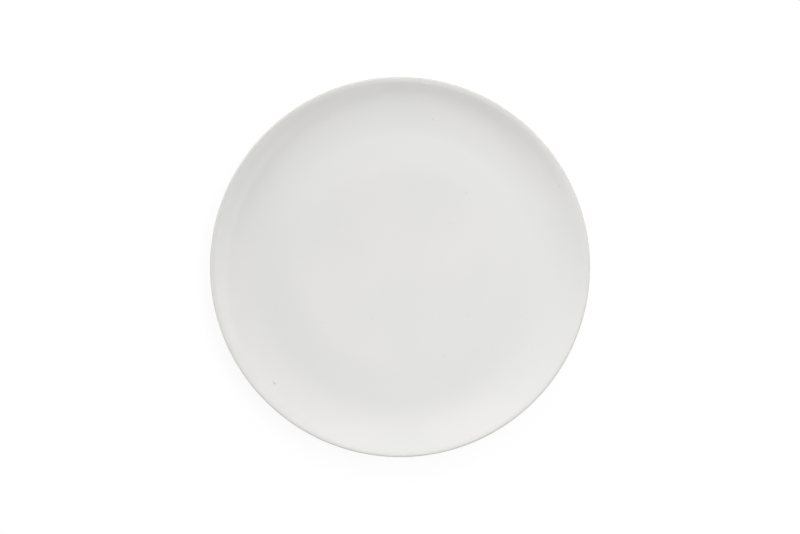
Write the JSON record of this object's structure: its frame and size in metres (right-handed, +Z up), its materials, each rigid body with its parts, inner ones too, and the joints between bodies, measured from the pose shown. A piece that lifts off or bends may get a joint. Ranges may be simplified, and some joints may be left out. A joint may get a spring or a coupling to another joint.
{
  "type": "coupe dinner plate",
  "caption": "Round coupe dinner plate with a gently dished floor, a curved wall, a rolled lip and a low foot ring; white glaze over a fired porcelain body.",
  "frame": {"origin": "middle of the plane that the foot ring stands on", "axes": "+Z up along the plate's axis, from the foot to the eating face; +X and +Y lie in the table plane, and +Y is the top of the picture"},
  "size_m": [0.27, 0.27, 0.021],
  "materials": {
    "fired_clay": "unglazed fired porcelain, ground smooth and matt",
    "white_glaze": "clear gloss over white, with a few fine iron specks",
    "recess_glaze": "clear gloss over white"
  },
  "bodies": {
    "root": {"porcelain_body": "fired_clay", "face_glaze": "white_glaze", "recess_glaze": "recess_glaze"}
  },
  "joints": []
}
